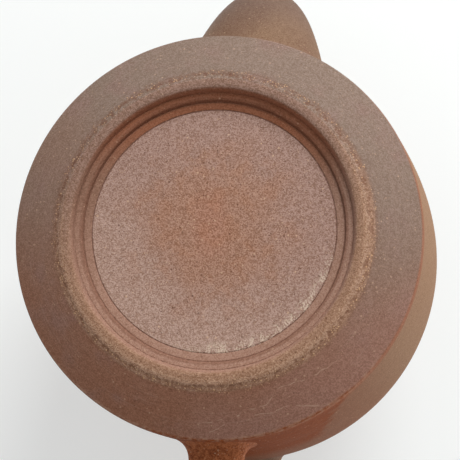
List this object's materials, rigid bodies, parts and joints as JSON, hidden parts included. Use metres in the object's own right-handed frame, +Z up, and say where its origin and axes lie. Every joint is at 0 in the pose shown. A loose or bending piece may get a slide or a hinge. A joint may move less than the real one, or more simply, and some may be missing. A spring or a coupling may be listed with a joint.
{
  "type": "teapot",
  "caption": "Unglazed stoneware teapot with a foot ring, flared base, rounded body, short upturned spout, loop handle at the back and a knobbed lid that lifts off.",
  "frame": {"origin": "on the pot's axis, in the plane that the foot ring stands on, midway between the spout's front and the handle's back", "axes": "+X towards the spout, -X towards the handle, +Z up along the pot's axis"},
  "size_m": [0.1717, 0.11, 0.0984],
  "materials": {
    "body_clay": "matte",
    "foot_clay": "matte",
    "lid_clay": "matte"
  },
  "bodies": {
    "pot": {"foot_ring": "foot_clay", "base_plate": "body_clay", "body_wall": "body_clay", "mouth_ring": "body_clay", "spout": "body_clay", "strainer": "body_clay", "handle": "body_clay"},
    "lid": {"lid_plate": "lid_clay", "lid_flange": "lid_clay", "lid_knob": "lid_clay"}
  },
  "joints": [
    {"name": "lid_lift", "type": "slide", "parent": "pot", "child": "lid", "axis": [0, 0, 1], "range_m": [0, 0.06]}
  ]
}
